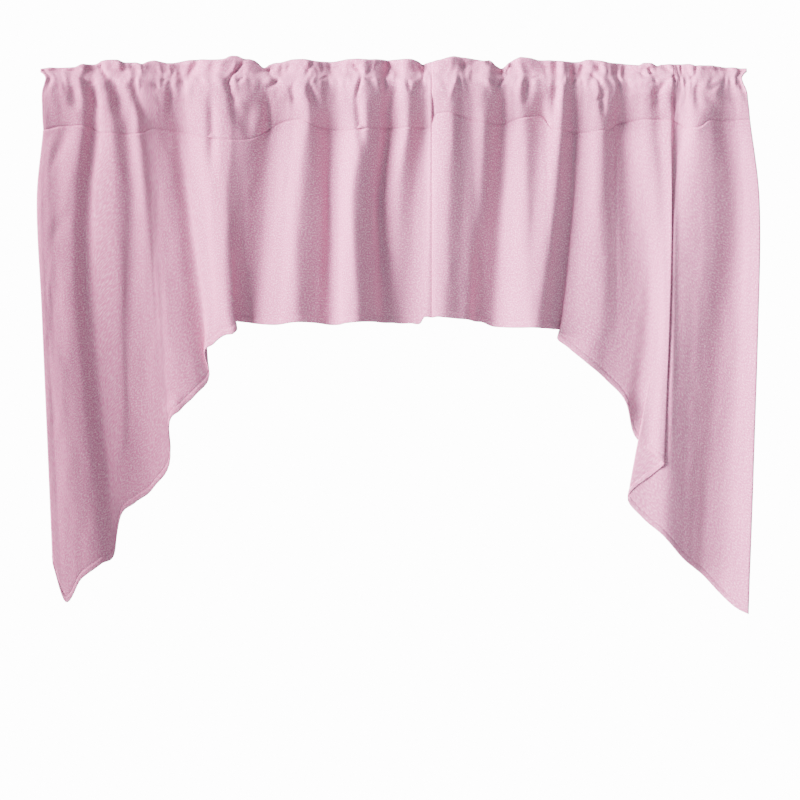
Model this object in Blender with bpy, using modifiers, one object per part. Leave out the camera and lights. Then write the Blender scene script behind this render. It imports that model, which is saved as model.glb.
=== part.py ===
# Swag and tail drape: two gathered panels of one pink cloth on a rod pocket,
# short over the middle and falling to a long slanted tail at each side.
# The middle of the pair is x = 0 and the rod the panels slide on runs along
# +X through the origin.  The front faces -Y and up is +Z.
# Sizes in the tables are in millimetres.

import math
from collections import namedtuple

import bpy
import bmesh

MM = 0.001
COLLECTION = "swag_and_tail_drape"
CLOTH_PINK = (0.69, 0.42, 0.52, 1.0)
CLOTH_ROUGHNESS = 0.85

HEADING_THICK = 1.2
DRAPE_THICK = 1.2
SEAM_GAP = 1.0

# the rod pocket: room for the rod, how far the gathers stand off it in front
# and behind, and the shares of the height below it and of the depth over it
ROD_ROOM = 9.2
ROD_HALF_HEIGHT = 9.0
FRONT_STANDOFF = 10.5
FRONT_GATHER = 20.0
BACK_STANDOFF = 10.5
BACK_GATHER = 8.0
HEADER_SEAM_HEIGHT = 17.0
BELOW_POCKET = 0.52
OVER_ROD = 0.85

# half the distance between the two layers of the heading at the pocket seam,
# the header seam, the middle of the frill and its top edge
SEAM_HALF = 0.6
HEADER_SEAM_HALF = 0.9
FRILL_HALF = 1.4
TOP_HALF = 0.7
FRILL_MIDDLE = 0.55

# how far in from its side edge a heading is drawn in by the rod
END_REACH = 60.0

# how deep a fold is at the header, the pocket seam and the hem, for each
# millimetre in the tables, and how far the seam hangs in front of the rod
HEADER_WAVE = 0.6
SEAM_WAVE = 1.2
HEM_WAVE = 1.4
SEAM_FORWARD = 3.0
DEEPEST_VALLEY = -20.0
HIGHEST_RIDGE = 19.0

# down a tail the folds of the heading die away faster than down the short
# middle: the middle's drop, and the further drop that doubles the fading
SHORT_DROP = 390.0
FADE_DROP = 370.0

# heights below the rod at which the fold tables give a fold line's x
LOW_DROP = 187.0
DEEP_DROP = 368.0

# a column of faces goes between two fold lines further apart than this, and
# a fold line where the cloth turns by more degrees is rounded off by two
WIDE_SPAN = 22.0
SHARP_TURN = 95.0
ROUNDING = 0.2
DRAPE_ROWS = 12

Fold = namedtuple("Fold", "seam low deep hem drop out_head out_hem")

# one row for each fold line, from the outer side edge to the middle:
# x at the pocket seam, at LOW_DROP, at DEEP_DROP and at the hem, the hem's
# drop below the rod, and how far the line stands out to the front at the
# heading and at the hem
LEFT_FOLDS = [
    Fold(-582, -592, -584, -566, 783, 6, 20),
    Fold(-571, -580, -574, -548, 842, 6, 16),
    Fold(-545, -562, -560, -518, 809, 3, 9),
    Fold(-519, -542, -540, -488, 786, 6, -5),
    Fold(-497, -508, -503, -466, 763, -6, -19),
    Fold(-488, -501, -493, -464, 743, 0, -17),
    Fold(-473, -472, -467, -459, 713, 7, -16),
    Fold(-447, -439, -444, -434, 686, -5, -13),
    Fold(-427, -418, -415, -404, 661, 5, -14),
    Fold(-411, -404, -396, -376, 602, -4, -10),
    Fold(-402, -399, -391, -379, 566, -6, -8),
    Fold(-388, -385, -376, -358, 532, -9, -7),
    Fold(-374, -366, -351, -334, 508, -12, -11),
    Fold(-359, -347, -323, -312, 473, -15, -20),
    Fold(-351, -339, -317, -320, 442, -13, -5),
    Fold(-338, -323, -305, -304, 424, -7, 0),
    Fold(-310, -304, -292, -284, 410, 7, 4),
    Fold(-290, -287, -278, -269, 407, 16, 9),
    Fold(-276, -280, -269, -264, 400, 19, 6),
    Fold(-264, -270, -272, -276, 388, 15, -10),
    Fold(-240, -248, -252, -254, 388, 0, -18),
    Fold(-201, -216, -234, -239, 390, -20, -20),
    Fold(-190, -206, -226, -231, 391, -15, -15),
    Fold(-171, -185, -199, -202, 393, -2, 1),
    Fold(-148, -161, -167, -167, 389, 9, 14),
    Fold(-126, -126, -134, -134, 390, -4, 4),
    Fold(-110, -112, -110, -110, 393, -14, -3),
    Fold(-100, -101, -98, -98, 393, -10, 4),
    Fold(-84, -90, -88, -88, 391, 1, 14),
    Fold(-60, -74, -67, -66, 389, 15, 22),
    Fold(-31, -42, -39, -39, 388, 1, 2),
    Fold(-15, -28, -22, -20, 389, -15, -19),
    Fold(-5, -19, -12, -10, 389, -8, -19),
    Fold(14, 0, 2, 4, 390, 11, -18),
    Fold(38, 30, 22, 22, 390, -8, -9),
    Fold(45, 43, 37, 37, 390, -7, -2),
    Fold(50, 49, 43, 42, 381, -3, 1),
    Fold(54, 54, 54, 54, 381, 1, 3),
]

RIGHT_FOLDS = [
    Fold(56, 56, 56, 56, 381, 3, 5),
    Fold(67, 66, 64, 64, 380, 12, 8),
    Fold(86, 82, 78, 76, 381, 18, 9),
    Fold(105, 107, 98, 98, 383, 8, 3),
    Fold(119, 123, 114, 114, 384, 4, -1),
    Fold(143, 140, 129, 129, 387, 7, -16),
    Fold(158, 154, 141, 140, 388, -4, -19),
    Fold(172, 168, 156, 154, 394, -14, -20),
    Fold(189, 186, 177, 177, 397, -5, -6),
    Fold(208, 207, 200, 200, 398, 2, 9),
    Fold(240, 229, 219, 219, 398, -7, 19),
    Fold(266, 256, 236, 236, 399, 5, 16),
    Fold(280, 274, 255, 255, 400, -8, -2),
    Fold(291, 288, 271, 271, 403, -18, -16),
    Fold(298, 292, 273, 262, 414, -15, 0),
    Fold(310, 307, 291, 278, 429, -8, 0),
    Fold(333, 331, 330, 309, 455, 0, 3),
    Fold(355, 355, 362, 342, 483, -11, -3),
    Fold(373, 384, 396, 376, 524, -20, -6),
    Fold(391, 402, 412, 386, 567, -11, -4),
    Fold(411, 424, 429, 413, 598, -3, 2),
    Fold(432, 438, 439, 429, 613, -4, 8),
    Fold(447, 449, 446, 436, 622, 1, 8),
    Fold(451, 447, 441, 425, 633, -4, 0),
    Fold(455, 438, 424, 378, 681, -8, -12),
    Fold(461, 449, 432, 401, 709, -9, -14),
    Fold(470, 457, 450, 433, 737, -3, -6),
    Fold(487, 492, 487, 470, 778, 11, -4),
    Fold(510, 516, 508, 487, 792, 11, -10),
    Fold(534, 549, 538, 505, 807, -2, -15),
    Fold(552, 566, 562, 534, 838, 2, -9),
    Fold(566, 580, 578, 559, 860, 7, 0),
    Fold(577, 593, 592, 576, 868, 9, 6),
]

Spot = namedtuple("Spot", "x z")

# the frilled top edge of each header, and the pocket seam, as seen in front
LEFT_TOP = [Spot(-587, 25), Spot(-559, 30), Spot(-529, 31), Spot(-488, 41), Spot(-450, 39),
            Spot(-424, 36), Spot(-408, 41), Spot(-342, 44), Spot(-289, 43), Spot(-268, 49),
            Spot(-250, 44), Spot(-232, 41), Spot(-220, 30), Spot(-209, 38), Spot(-174, 44),
            Spot(-120, 40), Spot(-82, 44), Spot(23, 44), Spot(42, 35), Spot(54, 36)]
RIGHT_TOP = [Spot(56, 40), Spot(95, 47), Spot(132, 43), Spot(151, 41), Spot(171, 29),
             Spot(184, 41), Spot(202, 47), Spot(240, 43), Spot(299, 41), Spot(316, 45),
             Spot(335, 43), Spot(391, 35), Spot(411, 39), Spot(426, 30), Spot(439, 36),
             Spot(480, 36), Spot(493, 33), Spot(572, 26)]
LEFT_SEAM = [Spot(-582, -74), Spot(-556, -67), Spot(-506, -67), Spot(-485, -76),
             Spot(-424, -77), Spot(-404, -69), Spot(-355, -74), Spot(-321, -84),
             Spot(-289, -90), Spot(-255, -90), Spot(-236, -86), Spot(-202, -64),
             Spot(-186, -58), Spot(-158, -58), Spot(-136, -69), Spot(-79, -74),
             Spot(-21, -68), Spot(54, -69)]
RIGHT_SEAM = [Spot(56, -50), Spot(69, -46), Spot(89, -46), Spot(118, -56), Spot(143, -62),
              Spot(171, -62), Spot(192, -56), Spot(217, -50), Spot(241, -49),
              Spot(252, -71), Spot(299, -76), Spot(349, -72), Spot(365, -59),
              Spot(398, -56), Spot(450, -56), Spot(480, -67), Spot(496, -67),
              Spot(506, -58), Spot(577, -59)]

Panel = namedtuple("Panel", "folds top seam outer top_x rod_x")

# each panel with its outer side edge, which the rod draws in below the header
LEFT_PANEL = Panel(LEFT_FOLDS, LEFT_TOP, LEFT_SEAM, 0, -587, -575)
RIGHT_PANEL = Panel(RIGHT_FOLDS, RIGHT_TOP, RIGHT_SEAM, -1, 572, 561)


def blend(a, b, share):
    return a + (b - a) * share


def height_at(line, x):
    # height of a line of spots at x, straight from spot to spot
    if x <= line[0].x:
        return line[0].z
    for left, right in zip(line, line[1:]):
        if x <= right.x:
            return blend(left.z, right.z, (x - left.x) / (right.x - left.x))
    return line[-1].z


def curve_at(knots, at):
    # smooth curve through (place, value) knots that stand in rising order
    slopes = []
    for i in range(len(knots)):
        before = knots[max(i - 1, 0)]
        after = knots[min(i + 1, len(knots) - 1)]
        slopes.append((after[1] - before[1]) / (after[0] - before[0]))
    for i in range(len(knots) - 1):
        start, value = knots[i]
        end, next_value = knots[i + 1]
        if at <= end or i == len(knots) - 2:
            run = end - start
            t = (at - start) / run
            return ((2 * t ** 3 - 3 * t ** 2 + 1) * value
                    + (t ** 3 - 2 * t ** 2 + t) * run * slopes[i]
                    + (3 * t ** 2 - 2 * t ** 3) * next_value
                    + (t ** 3 - t ** 2) * run * slopes[i + 1])


def between(folds, i):
    # the fold line half way between line i and the next, on a smooth curve
    before = folds[max(i - 1, 0)]
    after = folds[min(i + 2, len(folds) - 1)]
    values = []
    for a, b, c, d in zip(before, folds[i], folds[i + 1], after):
        values.append((9 * (b + c) - a - d) / 16)
    return Fold(*values)


def towards(fold, other, share):
    # a fold line part of the way from one to another
    return Fold(*[blend(a, b, share) for a, b in zip(fold, other)])


def hem_turn(before, fold, after):
    # degrees by which the hem turns at a fold line, seen from above
    come = math.atan2(HEM_WAVE * (fold.out_hem - before.out_hem), fold.hem - before.hem)
    leave = math.atan2(HEM_WAVE * (after.out_hem - fold.out_hem), after.hem - fold.hem)
    turn = abs(math.degrees(leave - come))
    return min(turn, 360 - turn)


def columns(folds):
    # the table's fold lines, with sharp ones rounded and wide spans halved
    last = len(folds) - 1
    lines = []
    for i, fold in enumerate(folds):
        if 0 < i < last and hem_turn(folds[i - 1], fold, folds[i + 1]) > SHARP_TURN:
            lines.append(towards(fold, folds[i - 1], ROUNDING))
            lines.append(towards(fold, folds[i + 1], ROUNDING))
        else:
            lines.append(fold)
        if i < last:
            after = folds[i + 1]
            if max(abs(after.seam - fold.seam), abs(after.hem - fold.hem)) > WIDE_SPAN:
                lines.append(between(folds, i))
    return lines


def drape_point(panel, fold, share):
    # a point of the hanging cloth, share 0 at the pocket seam and 1 at the hem
    seam_z = height_at(panel.seam, fold.seam)
    z = blend(seam_z, -fold.drop, share)
    knots = [(-seam_z, fold.seam), (LOW_DROP, fold.low), (DEEP_DROP, fold.deep),
             (fold.drop, fold.hem)]
    x = curve_at(knots, -z)
    fading = 1 + max(0.0, fold.drop - SHORT_DROP) / FADE_DROP
    out = blend(HEM_WAVE * fold.out_hem, SEAM_FORWARD + SEAM_WAVE * fold.out_head,
                (1 - share) ** fading)
    return x * MM, -out * MM, z * MM


Level = namedtuple("Level", "z front back end")


def seam_lift(panel, lines, i):
    # how far the inside of the heading stays above the seam at line i: the
    # gap and the cloth, more where the seam runs steeply up or down
    steepest = 0.0
    first = max(i - 1, 0)
    for a, b in zip(lines[first:i + 1], lines[first + 1:i + 2]):
        rise = height_at(panel.seam, b.seam) - height_at(panel.seam, a.seam)
        run = math.hypot(b.seam - a.seam, SEAM_WAVE * (b.out_head - a.out_head))
        steepest = max(steepest, abs(rise) / run)
    return (SEAM_GAP + HEADING_THICK) * math.hypot(1.0, steepest)


def heading_levels(panel, fold, lift):
    # inside of the folded heading, from the pocket seam up to the top edge:
    # height, front and back layer, and how far an end is drawn to rod_x
    seam_z = height_at(panel.seam, fold.seam) + lift
    top_z = height_at(panel.top, fold.seam) - HEADING_THICK
    ridge = (fold.out_head - DEEPEST_VALLEY) / (HIGHEST_RIDGE - DEEPEST_VALLEY)
    front = FRONT_STANDOFF + FRONT_GATHER * ridge
    back = -BACK_STANDOFF - BACK_GATHER * (1 - ridge)
    seam = SEAM_FORWARD + SEAM_WAVE * fold.out_head
    header = HEADER_WAVE * fold.out_head
    return [
        Level(seam_z, seam + SEAM_HALF, seam - SEAM_HALF, 0.0),
        Level(BELOW_POCKET * seam_z, blend(front, seam, 0.4), blend(back, seam, 0.5), 0.2),
        Level(-ROD_HALF_HEIGHT, front, back, 0.5),
        Level(ROD_HALF_HEIGHT, max(ROD_ROOM, OVER_ROD * front),
              min(-ROD_ROOM, OVER_ROD * back), 1.0),
        Level(HEADER_SEAM_HEIGHT, header + HEADER_SEAM_HALF, header - HEADER_SEAM_HALF, 1.0),
        Level(blend(HEADER_SEAM_HEIGHT, top_z, FRILL_MIDDLE), header + FRILL_HALF,
              header - FRILL_HALF, 0.3),
        Level(top_z, header + TOP_HALF, header - TOP_HALF, 0.0),
    ]


def heading_section(panel, fold, lift, edge_x):
    # one closed section of the heading, up the front and down the back
    levels = heading_levels(panel, fold, lift)
    near = max(0.0, 1 - abs(fold.seam - edge_x) / END_REACH)
    seam_z = levels[0].z
    top_z = levels[-1].z
    front = []
    back = []
    for level in levels:
        rise = (level.z - seam_z) / (top_z - seam_z)
        level_x = blend(blend(edge_x, panel.top_x, rise), panel.rod_x, level.end)
        x = fold.seam + (level_x - edge_x) * near
        front.append((x * MM, -level.front * MM, level.z * MM))
        back.append((x * MM, -level.back * MM, level.z * MM))
    return front + back[::-1]


def cloth_grid(name, points, closed, thick, offset):
    # a grid laid on rows of points and thickened into a solid sheet
    across = len(points)
    along = len(points[0])
    bm = bmesh.new()
    bmesh.ops.create_grid(bm, x_segments=across - 1, y_segments=along - 1, size=1.0)
    for vert in bm.verts:
        i = round((vert.co.x + 1) / 2 * (across - 1))
        j = round((vert.co.y + 1) / 2 * (along - 1))
        vert.co = points[i][j]
    if closed:
        bmesh.ops.remove_doubles(bm, verts=bm.verts, dist=1e-7)
    bmesh.ops.triangulate(bm, faces=bm.faces, quad_method="SHORT_EDGE")
    bmesh.ops.recalc_face_normals(bm, faces=bm.faces)
    mesh = bpy.data.meshes.new(name)
    bm.to_mesh(mesh)
    bm.free()
    obj = bpy.data.objects.new(name, mesh)
    bpy.data.collections[COLLECTION].objects.link(obj)
    solid = obj.modifiers.new("thickness", "SOLIDIFY")
    solid.thickness = thick * MM
    solid.offset = offset
    solid.use_even_offset = False
    mesh.materials.append(cloth_material(name))
    return obj


def cloth_material(name):
    material = bpy.data.materials.new(name + "_cloth")
    material.use_nodes = True
    shader = material.node_tree.nodes["Principled BSDF"]
    shader.inputs["Base Color"].default_value = CLOTH_PINK
    shader.inputs["Roughness"].default_value = CLOTH_ROUGHNESS
    return material


def make_drape(name, panel):
    points = []
    for fold in columns(panel.folds):
        points.append([drape_point(panel, fold, j / DRAPE_ROWS) for j in range(DRAPE_ROWS + 1)])
    cloth_grid(name, points, False, DRAPE_THICK, 0.0)


def make_heading(name, panel):
    lines = columns(panel.folds)
    edge_x = lines[panel.outer].seam
    points = []
    for i, fold in enumerate(lines):
        ring = heading_section(panel, fold, seam_lift(panel, lines, i), edge_x)
        points.append(ring + ring[:1])
    cloth_grid(name, points, True, HEADING_THICK, 1.0)


def main():
    for obj in list(bpy.data.objects):
        bpy.data.objects.remove(obj, do_unlink=True)
    group = bpy.data.collections.new(COLLECTION)
    bpy.context.scene.collection.children.link(group)
    make_heading("heading_left", LEFT_PANEL)
    make_heading("heading_right", RIGHT_PANEL)
    make_drape("drape_left", LEFT_PANEL)
    make_drape("drape_right", RIGHT_PANEL)


main()
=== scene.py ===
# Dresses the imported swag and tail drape: each panel is one fine continuous
# cloth, hung in its own folds, gathered on a rod pocket and sewn.
# Sizes in the tables are in millimetres, in the frame of the CAD: x = 0 is the
# middle of the pair, z = 0 the rod, and the front faces -Y.

import math
from collections import namedtuple

import bmesh
import bpy
import numpy as np
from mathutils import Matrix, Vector, noise


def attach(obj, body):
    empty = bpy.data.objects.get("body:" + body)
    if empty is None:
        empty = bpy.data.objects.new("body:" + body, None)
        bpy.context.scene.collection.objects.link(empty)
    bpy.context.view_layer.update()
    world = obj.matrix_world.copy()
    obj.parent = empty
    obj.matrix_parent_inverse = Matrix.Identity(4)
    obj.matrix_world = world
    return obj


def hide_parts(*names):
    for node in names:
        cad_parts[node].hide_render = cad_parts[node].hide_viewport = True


MM = 0.001

# the photograph's frame, seen straight on, in metres
VIEW_DISTANCE = 3.5
VIEW_WIDTH = 1.315
VIEW_CENTRE = (0.0033, -0.5162)
VIEW_FAR = 60.0
SENSOR = 36.0

# the studio, in metres and watts
ROOM_LIGHT = 0.82
PANEL_LIGHT = 14.0
PANEL_EDGE = (0.88, 0.96)
ROOM_COLOUR = "E4FEF4"
KEY_PLACE = (-5.75, -2.5, 1.75)
KEY_AIM = (1.6, 0.0, 0.5)
KEY_SIZE = (4.0, 3.0)
KEY_COLOUR = "FFD3EC"
KEY_POWER = 590.0
KEY_SPREAD = 52.0
FLOOR_HEIGHT = -1.5
FLOOR_HALF = 1.3

# the cloth and its sewing
CLOTH_THICK = 1.0
HEM_WIDTH = 11.0
HEM_STITCH_DEPTH = 0.5
HEM_STITCH_WIDTH = 1.4
SEAM_DEPTH = 1.3
SEAM_WIDTH = 1.5
SEAM_RIDGE = 0.7
SEAM_RIDGE_BELOW = 3.4
SEAM_RIDGE_WIDTH = 2.2
SEAM_PUCKER_REACH = 6.0
STITCH_HALF = 0.42
STITCH_PITCH = 3.4
STITCH_LENGTH = 2.6
STITCH_LIFT = 0.15
STITCH_FROM_EDGE = 4.0
JOIN_SMOOTH = 16.0

# the pocket and the header: heights from the rod's axis, and how far the
# front and back layers stand off it
ROD_ROOM = 9.2
ROD_HALF_HEIGHT = 9.0
BELOW_POCKET = 0.52
NECK_START = 8.0
NECK_MIDDLE = 15.0
NECK_END = 22.0
HEADER_SEAM_HEIGHT = 17.0
FRONT_STANDOFF = 10.5
FRONT_GATHER = 26.0
BACK_STANDOFF = 10.5
BACK_GATHER = 8.0
POCKET_BELLY = 0.6
LAYER_HALF_GAP = 1.1
END_REACH = 60.0
TOP_SOFTEN = 2.0
SEAM_SOFTEN = 5.0
HEADER_FROM = (4.0, 16.0)
GATHER_FROM = 8.0
GATHER_FADE = 26.0
GATHER_TOP = (62.0, 14.0)

# how strongly the folds of the tables stand out at each level
HEADER_WAVE = 0.6
SEAM_WAVE = 1.02
SEAM_FORWARD = 3.0
HEM_WAVE = 1.15
DEEPEST_VALLEY = -20.0
HIGHEST_RIDGE = 22.0
SHORT_DROP = 390.0
FADE_DROP = 370.0
LOW_DROP = 187.0
DEEP_DROP = 368.0
SWAY_FULL = 60.0

# how the creases of the tables are drawn, and over which shares of their
# length they die away
CREASE_WIDEN = 1.2
SHADOW_SIDE = 0.7
EDGE_CREASE_HEIGHT = 27.0
CREASE_END = (1.02, 0.5)
CREASE_START = (-0.02, 0.35)

# the mesh
COLUMN_SPACING = 3.0
LEAST_RUN = 4.0
MIDDLE_ROWS = 84
HEM_ROWS = (0.0, 2.0, 6.0, 9.5, 11.0, 12.5, 16.0)
SEAM_ROWS = (6.5, 4.0, 2.4, 1.2, 0.0)
FRONT_ROWS = 46
BACK_ROWS = 18

# the colours, in sRGB
PINK = "B87294"
DEEPER_PINK = "B56E92"
PALE_FLECK = "E6BACF"
# painted shade colour, mixed into the cloth toward the lower left tail
PAINTED_SHADE_PINK = "7A3550"
FIBRE_BLOOM = "F0C2D4"
THREAD_DARK = "96637A"
THREAD_LIGHT = "B58098"
FLOOR_GREY = "F4F3F2"
WHITE = "FFFFFF"

Fold = namedtuple("Fold", "seam low deep hem drop out_head out_hem")
Spot = namedtuple("Spot", "x z")
Crease = namedtuple("Crease", "path width depth")
Unevenness = namedtuple("Unevenness", "depth wide high seed")

# the cloth's own unevenness, as deep as this in patches of this size
SWAY = Unevenness(1.6, 34.0, 150.0, 0)
RIPPLE = Unevenness(0.5, 13.0, 34.0, 5)
PUCKER_SLANT = Unevenness(9.0, 46.0, 30.0, 21)
PUCKERS = Unevenness(5.5, 15.0, 38.0, 9)
SMALL_PUCKERS = Unevenness(1.8, 7.0, 15.0, 17)
SEAM_PUCKERS = Unevenness(0.5, 5.0, 40.0, 13)

# the folds of each panel, from its left edge to its right one: the fold's
# place at the seam, at two heights below it and at the hem, how far below the
# rod its hem is, and how far it stands out at the seam and at the hem
LEFT_FOLDS = [
    Fold(-582, -592, -584, -566, 783, 6, 12),
    Fold(-571, -580, -574, -548, 842, 6, 12),
    Fold(-545, -562, -560, -518, 809, 4, 11),
    Fold(-517, -532, -530, -488, 786, 5, 4),
    Fold(-495, -505, -502, -466, 763, -6, -10),
    Fold(-487, -498, -493, -464, 743, 0, -11),
    Fold(-473, -472, -467, -459, 713, 5, -13),
    Fold(-447, -439, -444, -434, 686, -3, -17),
    Fold(-427, -418, -415, -404, 661, 3, -20),
    Fold(-411, -404, -396, -376, 602, -3, -18),
    Fold(-402, -399, -391, -379, 566, -5, -17),
    Fold(-388, -385, -376, -358, 532, -9, -14),
    Fold(-374, -366, -351, -334, 508, -14, -15),
    Fold(-359, -347, -323, -312, 473, -18, -20),
    Fold(-351, -339, -317, -320, 442, -16, -14),
    Fold(-338, -323, -305, -304, 424, -8, -6),
    Fold(-310, -304, -292, -284, 410, 6, 3),
    Fold(-290, -287, -278, -269, 407, 10, 9),
    Fold(-276, -280, -269, -264, 400, 11, 6),
    Fold(-264, -265, -271, -276, 388, 9, -6),
    Fold(-243, -248, -252, -254, 388, 5, -17),
    Fold(-210, -218, -234, -239, 390, -9, -13),
    Fold(-199, -208, -226, -231, 391, -8, -9),
    Fold(-176, -185, -199, -202, 393, -1, 3),
    Fold(-148, -161, -167, -167, 389, 9, 14),
    Fold(-126, -126, -134, -134, 390, -4, 4),
    Fold(-110, -112, -110, -110, 393, -14, -3),
    Fold(-100, -101, -98, -98, 393, -10, 4),
    Fold(-84, -90, -88, -88, 391, 1, 14),
    Fold(-60, -74, -67, -66, 389, 15, 22),
    Fold(-31, -42, -39, -39, 388, 1, 2),
    Fold(-15, -28, -22, -20, 389, -15, -19),
    Fold(-5, -19, -12, -10, 389, -8, -19),
    Fold(14, 0, 2, 4, 390, 9, -18),
    Fold(38, 30, 22, 22, 390, -5, -9),
    Fold(45, 43, 37, 37, 390, -5, -2),
    Fold(50, 49, 43, 42, 381, -2, 1),
    Fold(54, 54, 54, 54, 381, 1.5, 3.5),
    Fold(56.5, 58, 58, 58, 381, 0.5, 2.5),
]

RIGHT_FOLDS = [
    Fold(56, 56, 56, 56, 381, 3, 5),
    Fold(67, 66, 64, 64, 380, 12, 8),
    Fold(86, 82, 78, 76, 381, 18, 9),
    Fold(105, 107, 98, 98, 383, 8, 3),
    Fold(119, 123, 114, 114, 384, 4, -1),
    Fold(143, 140, 129, 129, 387, 7, -16),
    Fold(158, 154, 141, 140, 388, -4, -19),
    Fold(172, 168, 156, 154, 394, -14, -20),
    Fold(189, 186, 177, 177, 397, -5, -6),
    Fold(208, 207, 200, 200, 398, 2, 9),
    Fold(240, 229, 219, 219, 398, -7, 19),
    Fold(266, 256, 236, 236, 399, 5, 16),
    Fold(280, 274, 255, 255, 400, -8, -2),
    Fold(291, 288, 271, 271, 403, -18, -10),
    Fold(298, 292, 273, 262, 414, -15, -4),
    Fold(310, 307, 291, 278, 429, -8, 0),
    Fold(333, 331, 330, 309, 455, 0, 4),
    Fold(355, 355, 362, 342, 483, -11, -2),
    Fold(373, 384, 396, 376, 524, -20, -5),
    Fold(391, 402, 412, 386, 567, -11, -9),
    Fold(411, 424, 429, 413, 598, -3, -1),
    Fold(432, 438, 439, 429, 613, -4, 8),
    Fold(447, 449, 446, 436, 622, 1, 8),
    Fold(451, 448, 443, 425, 633, -1, 3),
    Fold(455, 444, 432, 378, 681, -3, -5),
    Fold(461, 450, 439, 401, 709, -3, -2),
    Fold(470, 458, 452, 433, 737, 0, 5),
    Fold(487, 492, 487, 470, 778, 13, -5),
    Fold(510, 516, 508, 487, 792, 13, -11),
    Fold(534, 549, 538, 505, 807, 2, -17),
    Fold(552, 566, 562, 534, 838, 2, -15),
    Fold(566, 580, 578, 559, 860, 7, -5),
    Fold(577, 593, 592, 576, 868, 9, 3),
]

# the header's top edge and the pocket's seam
LEFT_TOP = [
    Spot(-587, 26), Spot(-579, 28), Spot(-569, 30), Spot(-539, 30), Spot(-529, 31),
    Spot(-520, 36), Spot(-500, 36), Spot(-493, 38), Spot(-490, 41), Spot(-480, 43),
    Spot(-460, 43), Spot(-450, 39), Spot(-431, 39), Spot(-421, 36), Spot(-411, 41),
    Spot(-401, 43), Spot(-381, 39), Spot(-372, 39), Spot(-352, 43), Spot(-342, 44),
    Spot(-322, 44), Spot(-312, 43), Spot(-293, 43), Spot(-283, 44), Spot(-278, 48),
    Spot(-273, 49), Spot(-263, 49), Spot(-253, 44), Spot(-243, 44), Spot(-233, 41),
    Spot(-227, 35), Spot(-222, 30), Spot(-217, 31), Spot(-214, 35), Spot(-204, 39),
    Spot(-194, 39), Spot(-174, 44), Spot(-155, 44), Spot(-135, 41), Spot(-105, 41),
    Spot(-85, 44), Spot(-66, 44), Spot(-56, 43), Spot(-46, 43), Spot(-36, 44), Spot(23, 44),
    Spot(33, 41), Spot(41, 36), Spot(46, 38), Spot(54, 39),
]
RIGHT_TOP = [
    Spot(54, 39), Spot(72, 43), Spot(82, 46), Spot(92, 48), Spot(112, 46), Spot(132, 43),
    Spot(141, 41), Spot(151, 43), Spot(161, 35), Spot(171, 30), Spot(176, 33), Spot(181, 38),
    Spot(191, 44), Spot(201, 48), Spot(220, 46), Spot(230, 43), Spot(260, 43), Spot(270, 41),
    Spot(299, 41), Spot(309, 44), Spot(319, 44), Spot(339, 41), Spot(349, 39), Spot(368, 39),
    Spot(388, 36), Spot(398, 35), Spot(403, 39), Spot(418, 38), Spot(423, 35), Spot(427, 33),
    Spot(432, 36), Spot(477, 36), Spot(487, 33), Spot(516, 33), Spot(536, 31), Spot(556, 30),
    Spot(572, 28),
]
LEFT_SEAM = [
    Spot(-582, -74), Spot(-556, -67), Spot(-506, -65), Spot(-490, -78), Spot(-424, -79),
    Spot(-404, -69), Spot(-355, -74), Spot(-321, -84), Spot(-289, -90), Spot(-255, -90),
    Spot(-236, -86), Spot(-202, -64), Spot(-186, -58), Spot(-158, -55), Spot(-136, -67),
    Spot(-79, -74), Spot(-21, -68), Spot(54, -69),
]
RIGHT_SEAM = [
    Spot(56, -50), Spot(69, -46), Spot(89, -46), Spot(118, -56), Spot(143, -62),
    Spot(171, -62), Spot(192, -56), Spot(217, -50), Spot(241, -47), Spot(249, -70),
    Spot(299, -76), Spot(349, -72), Spot(361, -60), Spot(398, -55), Spot(450, -55),
    Spot(475, -70), Spot(496, -70), Spot(506, -58), Spot(577, -57),
]

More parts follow.
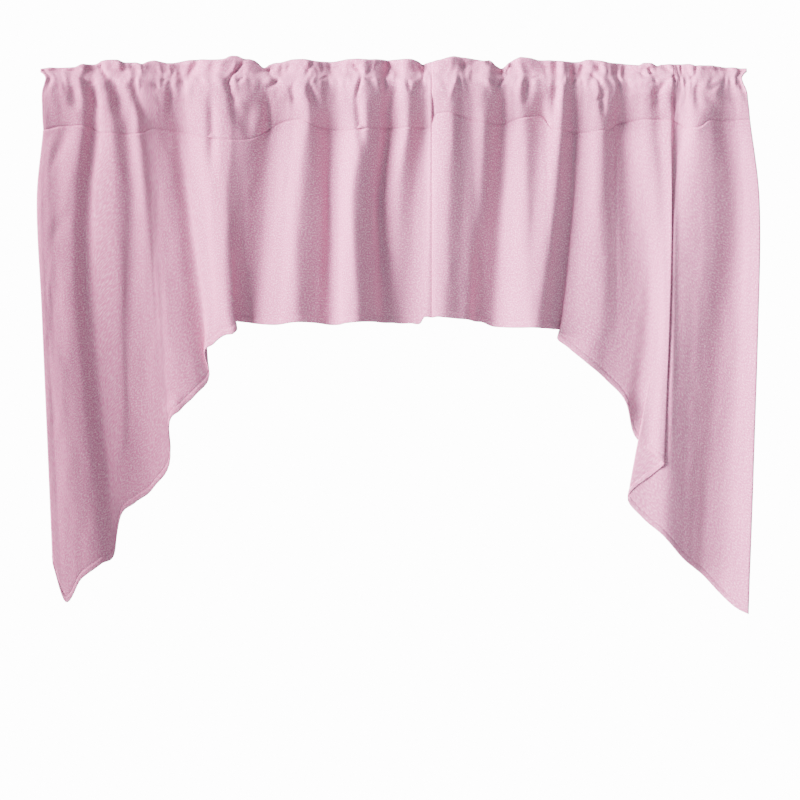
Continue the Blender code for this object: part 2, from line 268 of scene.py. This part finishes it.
# creases of the gathered headers and pockets, as soft troughs and ridges:
# the line of their shadow, how wide they are to each side, and how far they
# stand out, which is less than 0 for a trough
LEFT_HEADER_CREASES = [
    Crease(((-492, 33), (-485, 20), (-478, 10), (-470, 10)), 3, -7),
    Crease(((-520, 13), (-510, 3), (-501, 3), (-493, 12)), 2.5, -3),
    Crease(((-540, 8), (-534, -25), (-529, -50)), 7, -5),
    Crease(((-505, 10), (-500, -23), (-497, -60)), 5, -6),
    Crease(((-482, 22), (-475, 6), (-468, -20), (-463, -66)), 8, -12),
    Crease(((-460, 33), (-437, 33)), 5, 4),
    Crease(((-439, 14), (-432, -18), (-420, -64)), 6, -8),
    Crease(((-406, 2), (-398, -2), (-388, -10)), 2, -3),
    Crease(((-391, 8), (-383, 8), (-375, 13)), 2, -3),
    Crease(((-335, 39), (-344, 18), (-355, 0)), 5, -5),
    Crease(((-378, 3), (-376, -31), (-372, -66)), 5, -3),
    Crease(((-258, 36), (-273, 16), (-279, 2), (-275, -20), (-263, -38)), 2.2, -7),
    Crease(((-266, 2), (-258, 7), (-250, 15)), 2, -4),
    Crease(((-215, 28), (-210, 16), (-202, 10)), 2, -5),
    Crease(((-194, 16), (-202, 3), (-224, -10)), 2.5, -5),
    Crease(((-219, -6), (-217, -50), (-220, -98)), 5, -7),
    Crease(((-266, -30), (-261, -56), (-260, -82)), 6, -4),
    Crease(((-274, -4), (-274, -32), (-268, -78)), 6, -5),
    Crease(((-178, 5), (-174, -23), (-172, -45)), 6, -5),
    Crease(((-145, 36), (-150, 23), (-153, 8)), 3, -4),
    Crease(((-153, 8), (-143, -18), (-130, -41)), 5, -7),
    Crease(((-132, 5), (-122, 12), (-110, 16)), 1.6, -3),
    Crease(((-74, 33), (-62, 20), (-62, 10), (-67, -10), (-74, -33)), 2.2, -6),
    Crease(((-69, 5), (-72, -23), (-68, -60), (-62, -120)), 6, -6.5),
    Crease(((-62, 16), (-53, 8), (-46, 7), (-36, 12)), 1.8, -4),
    Crease(((-20, 39), (-12, 30), (-2, 20)), 4, -5),
    Crease(((-5, 13), (-13, -23), (-26, -59)), 6, -4),
    Crease(((12, 13), (15, -3), (18, -18)), 2, -4),
    Crease(((23, -20), (26, -7), (35, 3)), 2, -2),
    Crease(((38, 39), (41, 26), (39, 13)), 3, -5),
    Crease(((46, 33), (52, 23), (54, 10)), 3, -5),
]
RIGHT_HEADER_CREASES = [
    Crease(((57, 30), (60, 18), (62, 6)), 3, -4),
    Crease(((100, 21), (90, -7), (81, -38)), 2, 2.5),
    Crease(((105, 33), (125, 39), (145, 36)), 5, -4),
    Crease(((146, 38), (158, 33), (169, 28), (171, 10), (163, -2), (150, 3), (143, 16)), 2.5, -6),
    Crease(((168, -3), (169, -31), (168, -66)), 4, -4),
    Crease(((182, 39), (174, 20), (168, -3)), 2, 4),
    Crease(((210, 18), (206, -3), (203, -40)), 6, -8),
    Crease(((214, 10), (225, 12), (237, 16)), 2, -3),
    Crease(((255, 43), (256, 15), (251, -25), (250, -75)), 6, -9),
    Crease(((278, 0), (286, 7), (299, 13)), 2, -4),
    Crease(((301, 33), (293, 13), (283, -3)), 3, -3),
    Crease(((307, 23), (319, 16), (327, 7), (332, -13)), 2.5, -5),
    Crease(((317, 39), (326, 30), (327, 20)), 5, -5),
    Crease(((334, -18), (327, -23), (322, -30)), 2, -4),
    Crease(((331, 2), (331, -25), (335, -62)), 4, -5),
    Crease(((279, -7), (284, -36), (283, -69)), 5, -4),
    Crease(((393, 25), (401, 16), (409, 12)), 2.5, -4),
    Crease(((411, 28), (413, 21), (414, 15)), 2.5, -8),
    Crease(((418, 12), (419, -2)), 2, -4),
    Crease(((416, 5), (419, -23), (421, -50)), 6, -6),
    Crease(((365, 10), (381, -7), (411, -10)), 3, -2),
    Crease(((444, 16), (427, -7), (413, -21)), 3, -3),
    Crease(((434, 33), (442, 26), (449, 18)), 3.5, -6),
    Crease(((447, 16), (450, 10), (452, 3)), 2, -6),
    Crease(((449, -7), (450, -30), (452, -53)), 3, -6),
    Crease(((487, 33), (485, 16), (475, 7), (467, -2)), 2.5, -5),
    Crease(((480, 10), (482, -20), (490, -50)), 6, -5),
    Crease(((480, -10), (500, -23), (523, -39)), 7, -3),
    Crease(((503, -13), (515, -5), (524, 2)), 3, -3),
    Crease(((547, 7), (556, -2), (562, -15)), 5, -5),
]

# pulls and pressed lines in the hanging cloth
LEFT_DRAPE_CREASES = [
    Crease(((-585, -155), (-559, -99), (-531, -39)), 7, -2),
    Crease(((-580, -261), (-559, -227), (-539, -196)), 7, -1.5),
    Crease(((-409, -171), (-404, -302), (-398, -401), (-395, -516)), 1.6, -0.6),
    Crease(((-21, -278), (-10, -283), (3, -289)), 3, -1.5),
    Crease(((-372, -545), (-362, -500)), 10, 4),
    Crease(((-248, -20), (-252, -60), (-254, -100)), 8, -6),
    Crease(((-309, 5), (-310, -60), (-312, -170)), 7, -6),
]
RIGHT_DRAPE_CREASES = [
    Crease(((244, 30), (244, -200), (243, -395)), 1.5, -1.0),
    Crease(((359, 36), (358, -250), (360, -460)), 1.5, -1.2),
    Crease(((370, -495), (378, -528), (388, -560), (404, -590)), 11, 6),
    Crease(((453, -40), (452, -190), (451, -370), (444, -700)), 4.5, 4),
]

Panel = namedtuple("Panel", "folds top seam header_creases drape_creases edge_x top_x rod_x seed")

LEFT_PANEL = Panel(LEFT_FOLDS, LEFT_TOP, LEFT_SEAM, LEFT_HEADER_CREASES, LEFT_DRAPE_CREASES,
                   -582, -587, -575, 3.0)
RIGHT_PANEL = Panel(RIGHT_FOLDS, RIGHT_TOP, RIGHT_SEAM, RIGHT_HEADER_CREASES,
                    RIGHT_DRAPE_CREASES, 577, 572, 561, 11.0)


def blend(a, b, share):
    return a + (b - a) * share


def ease(low, high, value):
    # smooth step from 0 at low to 1 at high
    t = np.clip((value - low) / (high - low), 0.0, 1.0)
    return t * t * (3 - 2 * t)


def spline(knots, values, at):
    # smooth curve through values (one row a knot), read at each place in at
    steps = np.diff(knots)
    slopes = np.diff(values, axis=0) / steps[:, None]
    tangents = np.empty_like(values)
    tangents[0] = slopes[0]
    tangents[-1] = slopes[-1]
    before = steps[:-1, None]
    after = steps[1:, None]
    tangents[1:-1] = (after * slopes[:-1] + before * slopes[1:]) / (before + after)
    i = np.clip(np.searchsorted(knots, at, side="right") - 1, 0, len(knots) - 2)
    run = steps[i][:, None]
    t = ((at - knots[i]) / steps[i])[:, None]
    return ((2 * t ** 3 - 3 * t ** 2 + 1) * values[i] + (t ** 3 - 2 * t ** 2 + t) * run * tangents[i]
            + (3 * t ** 2 - 2 * t ** 3) * values[i + 1] + (t ** 3 - t ** 2) * run * tangents[i + 1])


def fine_folds(panel):
    # the fold table read at evenly spaced columns across the cloth
    table = np.array(panel.folds, dtype=float)
    at_seam = np.hypot(np.diff(table[:, 0]), SEAM_WAVE * np.diff(table[:, 5]))
    at_hem = np.hypot(np.diff(table[:, 3]), HEM_WAVE * np.diff(table[:, 6]))
    knots = np.concatenate([[0.0], np.cumsum(np.maximum((at_seam + at_hem) / 2, LEAST_RUN))])
    count = int(knots[-1] / COLUMN_SPACING)
    across = np.linspace(0.0, knots[-1], count)
    fine = Fold(*spline(knots, table, across).T)
    return fine, across


def line_height(spots, x, soften):
    # height of a line of spots at x, its corners softened
    places = np.array([spot.x for spot in spots], dtype=float)
    heights = np.array([spot.z for spot in spots], dtype=float)
    total = np.zeros_like(x)
    offsets = (-1.0, -0.5, 0.0, 0.5, 1.0)
    for offset in offsets:
        total += np.interp(x + offset * soften, places, heights)
    return total / len(offsets)


def fold_x(fold, seam_z, z):
    # x of each column at heights z, through its four table places
    knots = [-seam_z, np.full_like(seam_z, LOW_DROP), np.full_like(seam_z, DEEP_DROP), fold.drop]
    values = [fold.seam, fold.low, fold.deep, fold.hem]
    slopes = []
    for k in range(4):
        first = max(k - 1, 0)
        last = min(k + 1, 3)
        slopes.append((values[last] - values[first]) / (knots[last] - knots[first]))
    x = np.array(z)
    for k in range(3):
        run = knots[k + 1] - knots[k]
        t = (-z - knots[k]) / run
        here = ((2 * t ** 3 - 3 * t ** 2 + 1) * values[k] + (t ** 3 - 2 * t ** 2 + t) * run * slopes[k]
                + (3 * t ** 2 - 2 * t ** 3) * values[k + 1] + (t ** 3 - t ** 2) * run * slopes[k + 1])
        x = here if k == 0 else np.where(-z >= knots[k], here, x)
    return x


def drape_rows(fold, seam_z):
    # the hanging cloth, as rows of points from the hem up to the pocket seam,
    # close together at both lines of stitching
    heights = [-fold.drop + up for up in HEM_ROWS]
    for share in np.linspace(0.0, 1.0, MIDDLE_ROWS)[1:-1]:
        heights.append(blend(heights[len(HEM_ROWS) - 1], seam_z - SEAM_ROWS[0], share))
    heights += [seam_z - down for down in SEAM_ROWS]
    rows = []
    for z in heights:
        share = (seam_z - z) / (seam_z + fold.drop)
        x = fold_x(fold, seam_z, z)
        fading = 1 + np.maximum(0.0, fold.drop - SHORT_DROP) / FADE_DROP
        out = blend(HEM_WAVE * fold.out_hem, SEAM_FORWARD + SEAM_WAVE * fold.out_head,
                    (1 - share) ** fading)
        rows.append(np.stack([x, -out, z], axis=1))
    return rows


def heading_rows(panel, fold, seam_z):
    # the pocket's front, the header and the pocket's back, as rows of points
    top_z = line_height(panel.top, fold.seam, TOP_SOFTEN) - CLOTH_THICK / 2
    ridge = (fold.out_head - DEEPEST_VALLEY) / (HIGHEST_RIDGE - DEEPEST_VALLEY)
    front = FRONT_STANDOFF + FRONT_GATHER * ridge
    back = -BACK_STANDOFF - BACK_GATHER * (1 - ridge)
    seam = SEAM_FORWARD + SEAM_WAVE * fold.out_head
    header = HEADER_WAVE * fold.out_head
    gap = LAYER_HALF_GAP
    mid_z = blend(HEADER_SEAM_HEIGHT, top_z, 0.5)
    near_z = blend(HEADER_SEAM_HEIGHT, top_z, 0.9)
    # height, how far out to the front, layer offset along the fold's own
    # normal, and how far an end is drawn in
    levels = [
        (seam_z, seam, 0.0, 0.0),
        (BELOW_POCKET * seam_z, blend(front, seam, 0.4), 0.0, 0.2),
        (-ROD_HALF_HEIGHT, front, 0.0, 0.5),
        (0.0, front + POCKET_BELLY, 0.0, 0.8),
        (NECK_START, np.maximum(ROD_ROOM, blend(front, header, 0.12)), 0.0, 0.95),
        (NECK_MIDDLE, blend(front, header, 0.5), 0.5 * gap, 0.7),
        (NECK_END, blend(front, header, 0.86), gap, 0.1),
        (mid_z, header, 1.6 * gap, 0.0),
        (near_z, header, 1.1 * gap, 0.0),
        (top_z, header, 0.0, 0.0),
        (near_z, header, -1.1 * gap, 0.0),
        (mid_z, header, -1.6 * gap, 0.0),
        (NECK_END, blend(back, header, 0.86), -gap, 0.1),
        (NECK_MIDDLE, blend(back, header, 0.5), -0.5 * gap, 0.7),
        (NECK_START, np.minimum(-ROD_ROOM, blend(back, header, 0.12)), 0.0, 0.95),
        (0.0, back - POCKET_BELLY, 0.0, 0.8),
        (-ROD_HALF_HEIGHT, back, 0.0, 0.5),
        (BELOW_POCKET * seam_z, blend(back, seam, 0.5), 0.0, 0.2),
        (seam_z + 1.0, seam, -1.6 * gap, 0.0),
    ]
    # the direction in which a layer stands off, from the header's own wave
    along_x = np.gradient(fold.seam)
    along_y = np.gradient(-header)
    length = np.hypot(along_x, along_y)
    normal_x = along_y / length
    normal_y = -along_x / length
    near = np.maximum(0.0, 1 - np.abs(fold.seam - panel.edge_x) / END_REACH)
    controls = []
    for z, out, offset, drawn in levels:
        z = z + np.zeros_like(seam_z)
        rise = (z - seam_z) / (top_z - seam_z)
        level_x = blend(blend(panel.edge_x, panel.top_x, rise), panel.rod_x, drawn)
        x = fold.seam + (level_x - panel.edge_x) * near + normal_x * offset
        y = -out + normal_y * offset
        controls.append(np.stack([x, y, z], axis=1))
    controls = np.array(controls)
    steps = np.linalg.norm(np.diff(controls, axis=0), axis=2).mean(axis=1)
    knots = np.concatenate([[0.0], np.cumsum(steps)])
    top_knot = knots[len(levels) // 2]
    at = np.concatenate([SEAM_ROWS[-2:0:-1],
                         np.linspace(SEAM_ROWS[0], top_knot, FRONT_ROWS - 3),
                         np.linspace(top_knot, knots[-1], BACK_ROWS)[1:]])
    flat = controls.reshape(len(controls), -1)
    fine = spline(knots, flat, at).reshape(len(at), len(seam_z), 3)
    return list(fine)


def crease_depth(creases, x, z):
    # how far the creases push the cloth out at each x and z
    depth = np.zeros_like(x)
    for crease in creases:
        reach = 3 * crease.width * CREASE_WIDEN
        path = np.array(crease.path, dtype=float)
        if crease.depth < 0:
            # the table follows the shadow, which lies on a trough's left side
            path[:, 0] += SHADOW_SIDE * CREASE_WIDEN * crease.width
        low = path.min(axis=0) - reach
        high = path.max(axis=0) + reach
        inside = (x > low[0]) & (x < high[0]) & (z > low[1]) & (z < high[1])
        px = x[inside]
        pz = z[inside]
        nearest = np.full_like(px, np.inf)
        place = np.zeros_like(px)
        lengths = np.linalg.norm(np.diff(path, axis=0), axis=1)
        far = np.concatenate([[0.0], np.cumsum(lengths)]) / lengths.sum()
        for k, (a, b) in enumerate(zip(path, path[1:])):
            run = b - a
            t = np.clip(((px - a[0]) * run[0] + (pz - a[1]) * run[1]) / (run @ run), 0.0, 1.0)
            distance = np.hypot(px - a[0] - t * run[0], pz - a[1] - t * run[1])
            place = np.where(distance < nearest, blend(far[k], far[k + 1], t), place)
            nearest = np.minimum(nearest, distance)
        # a crease dies away at its ends, but not where it starts at an edge
        fade = ease(*CREASE_END, place)
        if path[0][1] < EDGE_CREASE_HEIGHT:
            fade = fade * ease(*CREASE_START, place)
        width = crease.width * CREASE_WIDEN
        depth[inside] += crease.depth * fade * np.exp(-(nearest / width) ** 2)
    return depth


def waviness(across, z, kind, panel):
    # soft random unevenness of one kind, to either side, in patches of its size
    flat_a = across.ravel()
    flat_z = z.ravel()
    seed = panel.seed + kind.seed
    flat = np.empty_like(flat_a)
    for i in range(len(flat)):
        flat[i] = noise.noise((flat_a[i] / kind.wide, flat_z[i] / kind.high, seed))
    return kind.depth * flat.reshape(across.shape)


def cloth_points(panel):
    # every point of a panel's cloth, rows from the hem up and over to the back
    fold, across = fine_folds(panel)
    seam_z = line_height(panel.seam, fold.seam, SEAM_SOFTEN)
    drape = drape_rows(fold, seam_z)
    heading = heading_rows(panel, fold, seam_z)
    points = np.array(drape + heading)
    x = points[:, :, 0]
    z = points[:, :, 2]
    rows = len(points)
    columns = len(across)
    row = np.arange(rows)[:, None] + np.zeros(columns)[None, :]
    is_front = ease(rows - BACK_ROWS + 1, rows - BACK_ROWS - 1, row)
    in_header = ease(*HEADER_FROM, z)
    both = np.maximum(is_front, in_header)
    push = crease_depth(panel.header_creases, x, z) * both
    push += crease_depth(panel.drape_creases, x, z) * is_front
    places = np.repeat(across[None, :], rows, axis=0)
    hang = np.clip((seam_z[None, :] - z) / SWAY_FULL, 0.0, 1.0)
    push += waviness(places, z, SWAY, panel) * hang
    push += waviness(places, z, RIPPLE, panel) * is_front
    # puckers that the rod draws up in the header, slanting and fading below it
    gather = np.exp(-np.maximum(0.0, GATHER_FROM - z) / GATHER_FADE) * ease(*GATHER_TOP, z)
    slant = places + waviness(places, z, PUCKER_SLANT, panel)
    push += waviness(slant, z, PUCKERS, panel) * gather * both
    push += waviness(slant, z, SMALL_PUCKERS, panel) * gather * both
    # the pocket seam, drawn in by its stitches, and the hem's line of stitching
    from_seam = z - seam_z[None, :]
    puckers = waviness(places, 0.1 * z, SEAM_PUCKERS, panel)
    ridge = np.exp(-((from_seam + SEAM_RIDGE_BELOW) / SEAM_RIDGE_WIDTH) ** 2)
    push += (puckers * np.exp(-np.abs(from_seam) / SEAM_PUCKER_REACH)
             - SEAM_DEPTH * np.exp(-(from_seam / SEAM_WIDTH) ** 2)
             + SEAM_RIDGE * ridge) * is_front
    # the two panels meet smoothly, one edge just under the other
    from_join = across[-1] - across if panel.edge_x < 0 else across
    push *= ease(0.0, JOIN_SMOOTH, from_join)[None, :]
    from_hem = z + fold.drop[None, :]
    push -= HEM_STITCH_DEPTH * np.exp(-((from_hem - HEM_WIDTH) / HEM_STITCH_WIDTH) ** 2)
    points[:, :, 1] -= push
    return points, across


def hex_colour(text):
    # sRGB hex to the linear colour that the shaders take
    channels = []
    for i in (0, 2, 4):
        value = int(text[i:i + 2], 16) / 255
        channels.append(value / 12.92 if value <= 0.04045 else ((value + 0.055) / 1.055) ** 2.4)
    return (*channels, 1.0)


def add_node(tree, kind, settings=(), **inputs):
    # one node, with its settings and with its inputs set or linked by name
    node = tree.nodes.new("ShaderNode" + kind)
    for name, value in dict(settings).items():
        setattr(node, name, value)
    for name, value in inputs.items():
        socket = node.inputs[int(name[1:])] if name[0] == "i" and name[1:].isdigit() else \
            node.inputs[name.replace("_", " ")]
        if isinstance(value, bpy.types.NodeSocket):
            tree.links.new(value, socket)
        else:
            socket.default_value = value
    return node


def brushed_cloth():
    # Brushed plain-weave polyester: raised, matted fibres hide the weave, so
    # the eye sees a dull, soft pink with fine pale flecks and a faint bloom
    # where the cloth turns away.
    material = bpy.data.materials.new("brushed polyester cloth")
    material.use_nodes = True
    tree = material.node_tree
    shader = tree.nodes["Principled BSDF"]
    place = add_node(tree, "UVMap", {"uv_map": "cloth"}).outputs["UV"]
    # matted fibre flecks about 2 mm across
    flecks = add_node(tree, "TexNoise", Vector=place, Scale=430.0, Detail=3.0,
                      Roughness=0.7, Distortion=0.2).outputs["Fac"]
    # threads 0.6 mm apart, too fine for the render, drawn 1.2 mm apart
    threads = add_node(tree, "TexNoise", Vector=place, Scale=830.0, Detail=2.0,
                       Roughness=0.7).outputs["Fac"]
    # broad, faint unevenness of the dye, about 60 mm across
    clouds = add_node(tree, "TexNoise", Vector=place, Scale=16.0, Detail=2.0).outputs["Fac"]
    fleck_share = add_node(tree, "MapRange", i0=flecks, i1=0.47, i2=0.68, i3=0.0, i4=1.0).outputs[0]
    cloud_share = add_node(tree, "MapRange", i0=clouds, i1=0.35, i2=0.65, i3=0.0, i4=1.0).outputs[0]
    base = add_node(tree, "Mix", {"data_type": "RGBA"}, i0=cloud_share, i6=hex_colour(PINK),
                    i7=hex_colour(DEEPER_PINK)).outputs[2]
    colour = add_node(tree, "Mix", {"data_type": "RGBA"}, i0=fleck_share, i6=base,
                      i7=hex_colour(PALE_FLECK)).outputs[2]
    # painted shade: the cloth's colour is darkened toward the lower left tail, standing in for the
    # light that falls off there
    body = add_node(tree, "TexCoord").outputs["Object"]
    spot = add_node(tree, "SeparateXYZ", Vector=body)
    up_right_place = add_node(tree, "Math", {"operation": "MULTIPLY_ADD"}, i0=spot.outputs["Z"], i1=0.5,
                    i2=spot.outputs["X"]).outputs[0]
    unshaded_share = add_node(tree, "MapRange", {"interpolation_type": "SMOOTHSTEP"}, i0=up_right_place, i1=-0.85,
                    i2=0.05, i3=0.66, i4=1.0).outputs[0]
    colour = add_node(tree, "Mix", {"data_type": "RGBA"}, i0=unshaded_share, i6=hex_colour(PAINTED_SHADE_PINK),
                      i7=colour).outputs[2]
    tree.links.new(colour, shader.inputs["Base Color"])
    shader.inputs["Roughness"].default_value = 0.9
    shader.inputs["Specular IOR Level"].default_value = 0.15
    shader.inputs["Sheen Weight"].default_value = 0.15
    shader.inputs["Sheen Roughness"].default_value = 0.5
    shader.inputs["Sheen Tint"].default_value = hex_colour(FIBRE_BLOOM)
    fibre = add_node(tree, "Bump", Strength=0.35, Distance=0.0006, Height=flecks).outputs["Normal"]
    weave = add_node(tree, "Bump", Strength=0.25, Distance=0.0003, Height=threads,
                     Normal=fibre).outputs["Normal"]
    tree.links.new(weave, shader.inputs["Normal"])
    return material


def sewing_thread():
    # Spun polyester sewing thread, a shade deeper than the cloth and twisted,
    # so it has a faint silky shine.
    material = bpy.data.materials.new("spun polyester thread")
    material.use_nodes = True
    tree = material.node_tree
    shader = tree.nodes["Principled BSDF"]
    place = add_node(tree, "TexCoord").outputs["Object"]
    twist = add_node(tree, "TexNoise", Vector=place, Scale=900.0, Detail=1.0).outputs["Fac"]
    colour = add_node(tree, "Mix", {"data_type": "RGBA"}, i0=twist, i6=hex_colour(THREAD_DARK),
                      i7=hex_colour(THREAD_LIGHT)).outputs[2]
    tree.links.new(colour, shader.inputs["Base Color"])
    shader.inputs["Roughness"].default_value = 0.6
    return material


def floor_paint():
    # Plain matt pale floor.
    material = bpy.data.materials.new("matt pale floor")
    material.use_nodes = True
    shader = material.node_tree.nodes["Principled BSDF"]
    shader.inputs["Base Color"].default_value = hex_colour(FLOOR_GREY)
    shader.inputs["Roughness"].default_value = 0.95
    return material


def finish_piece(piece, material):
    bpy.context.scene.collection.objects.link(piece)
    piece.data.materials.append(material)
    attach(piece, "root")


def make_panel(name, panel, nodes, material):
    # a grid laid over the panel's points, with hems twice as thick
    points, across = cloth_points(panel)
    rows, columns = points.shape[:2]
    bm = bmesh.new()
    bmesh.ops.create_grid(bm, x_segments=columns - 1, y_segments=rows - 1, size=1.0)
    mesh = bpy.data.meshes.new(name)
    bm.to_mesh(mesh)
    bm.free()
    count = len(mesh.vertices)
    flat = np.empty(count * 3)
    mesh.vertices.foreach_get("co", flat)
    grid = flat.reshape(-1, 3)
    i = np.rint((grid[:, 0] + 1) / 2 * (columns - 1)).astype(int)
    j = np.rint((grid[:, 1] + 1) / 2 * (rows - 1)).astype(int)
    mesh.vertices.foreach_set("co", (points[j, i] * MM).ravel())
    lengths = np.linalg.norm(np.diff(points, axis=0), axis=2)
    up = np.concatenate([np.zeros((1, columns)), np.cumsum(lengths, axis=0)])
    places = np.stack([across[i], up[j, i]], axis=1) * MM
    corners = np.empty(len(mesh.loops), dtype=int)
    mesh.loops.foreach_get("vertex_index", corners)
    uv = mesh.uv_layers.new(name="cloth")
    uv.data.foreach_set("uv", places[corners].ravel())
    mesh.polygons.foreach_set("use_smooth", np.ones(len(mesh.polygons), dtype=bool))
    mesh.update()
    piece = bpy.data.objects.new(name, mesh)
    finish_piece(piece, material)
    # hems: the cloth is doubled along the bottom and the side edges
    side = np.minimum(across, across[-1] - across)
    doubled = (up[j, i] < HEM_WIDTH) | (side[i] < HEM_WIDTH)
    group = piece.vertex_groups.new(name="doubled")
    group.add([int(v) for v in np.flatnonzero(doubled)], 1.0, "REPLACE")
    solid = piece.modifiers.new("cloth thickness", "SOLIDIFY")
    solid.thickness = 2 * CLOTH_THICK * MM
    solid.offset = 0.0
    solid.vertex_group = "doubled"
    solid.thickness_vertex_group = 0.5
    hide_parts(*nodes)
    return piece, points, across


def make_stitches(name, points, row, material):
    # short stitches laid on the cloth along one of its rows
    line = points[row]
    above = points[row + 1]
    steps = np.linalg.norm(np.diff(line, axis=0), axis=1)
    far = np.concatenate([[0.0], np.cumsum(steps)])
    bm = bmesh.new()
    at = STITCH_FROM_EDGE
    while at < far[-1] - STITCH_FROM_EDGE:
        k = min(int(np.searchsorted(far, at)), len(line) - 1)
        along = Vector(line[k] - line[k - 1]).normalized()
        up = Vector(above[k] - line[k]).normalized()
        out = along.cross(up).normalized()
        centre = Vector(line[k]) + out * (0.5 * CLOTH_THICK + STITCH_LIFT)
        made = bmesh.ops.create_icosphere(bm, subdivisions=1, radius=1.0)["verts"]
        for vert in made:
            local = vert.co.copy()
            vert.co = (centre + along * (local.x * STITCH_LENGTH / 2)
                       + up * (local.y * STITCH_HALF) + out * (local.z * STITCH_HALF)) * MM
        at += STITCH_PITCH
    bmesh.ops.recalc_face_normals(bm, faces=bm.faces)
    mesh = bpy.data.meshes.new(name)
    bm.to_mesh(mesh)
    bm.free()
    mesh.polygons.foreach_set("use_smooth", np.ones(len(mesh.polygons), dtype=bool))
    piece = bpy.data.objects.new(name, mesh)
    finish_piece(piece, material)
    return piece


def add_key_light():
    # a large soft light, far to the left and a little in front
    light = bpy.data.lights.new("gridded softbox", "AREA")
    light.shape = "RECTANGLE"
    light.size, light.size_y = KEY_SIZE
    light.energy = KEY_POWER
    light.spread = math.radians(KEY_SPREAD)
    light.color = hex_colour(KEY_COLOUR)[:3]
    lamp = bpy.data.objects.new("gridded softbox", light)
    lamp.location = KEY_PLACE
    aim = Vector(KEY_AIM) - Vector(KEY_PLACE)
    lamp.rotation_euler = aim.to_track_quat("-Z", "Y").to_euler()
    bpy.context.scene.collection.objects.link(lamp)


def make_studio():
    # a pale room, and behind the part a bright soft panel that stands for the
    # photograph's white background
    world = bpy.data.worlds.new("pale studio")
    world.use_nodes = True
    tree = world.node_tree
    way = add_node(tree, "TexCoord").outputs["Generated"]
    to_back = add_node(tree, "SeparateXYZ", Vector=way).outputs["Y"]
    panel = add_node(tree, "MapRange", {"interpolation_type": "SMOOTHSTEP"}, i0=to_back,
                     i1=PANEL_EDGE[0], i2=PANEL_EDGE[1], i3=ROOM_LIGHT,
                     i4=PANEL_LIGHT).outputs[0]
    backdrop = tree.nodes["Background"]
    bright = add_node(tree, "MapRange", {"interpolation_type": "SMOOTHSTEP"}, i0=to_back,
                      i1=PANEL_EDGE[0], i2=PANEL_EDGE[1]).outputs[0]
    tint = add_node(tree, "Mix", {"data_type": "RGBA"}, i0=bright, i6=hex_colour(ROOM_COLOUR),
                    i7=hex_colour(WHITE)).outputs[2]
    tree.links.new(tint, backdrop.inputs["Color"])
    tree.links.new(panel, backdrop.inputs["Strength"])
    bpy.context.scene.world = world
    add_key_light()
    bm = bmesh.new()
    bmesh.ops.create_grid(bm, x_segments=1, y_segments=1, size=FLOOR_HALF)
    bmesh.ops.translate(bm, verts=bm.verts, vec=(0.0, 0.0, FLOOR_HEIGHT))
    mesh = bpy.data.meshes.new("floor")
    bm.to_mesh(mesh)
    bm.free()
    mesh.materials.append(floor_paint())
    floor = bpy.data.objects.new("floor", mesh)
    bpy.context.scene.collection.objects.link(floor)


def make_camera():
    camera = bpy.data.cameras.new("front view")
    camera.sensor_width = SENSOR
    camera.lens = SENSOR * VIEW_DISTANCE / VIEW_WIDTH
    camera.clip_end = VIEW_FAR
    viewer = bpy.data.objects.new("front view", camera)
    viewer.location = (VIEW_CENTRE[0], -VIEW_DISTANCE, VIEW_CENTRE[1])
    viewer.rotation_euler = (math.radians(90), 0.0, 0.0)
    bpy.context.scene.collection.objects.link(viewer)
    bpy.context.scene.camera = viewer


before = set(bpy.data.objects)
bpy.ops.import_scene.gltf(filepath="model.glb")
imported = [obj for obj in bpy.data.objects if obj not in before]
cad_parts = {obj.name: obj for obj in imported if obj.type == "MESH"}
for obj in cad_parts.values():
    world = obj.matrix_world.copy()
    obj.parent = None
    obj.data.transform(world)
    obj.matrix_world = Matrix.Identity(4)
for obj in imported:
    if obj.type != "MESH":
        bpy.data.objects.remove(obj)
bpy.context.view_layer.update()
make_camera()
make_studio()
cloth = brushed_cloth()
thread = sewing_thread()

seam_row = len(HEM_ROWS) + MIDDLE_ROWS - 2 + len(SEAM_ROWS) - 1
for side_name, panel in (("left", LEFT_PANEL), ("right", RIGHT_PANEL)):
    piece, points, across = make_panel(
        "cloth_" + side_name, panel, ("heading_" + side_name, "drape_" + side_name), cloth)
    stitches = make_stitches("seam_stitches_" + side_name, points, seam_row, thread)
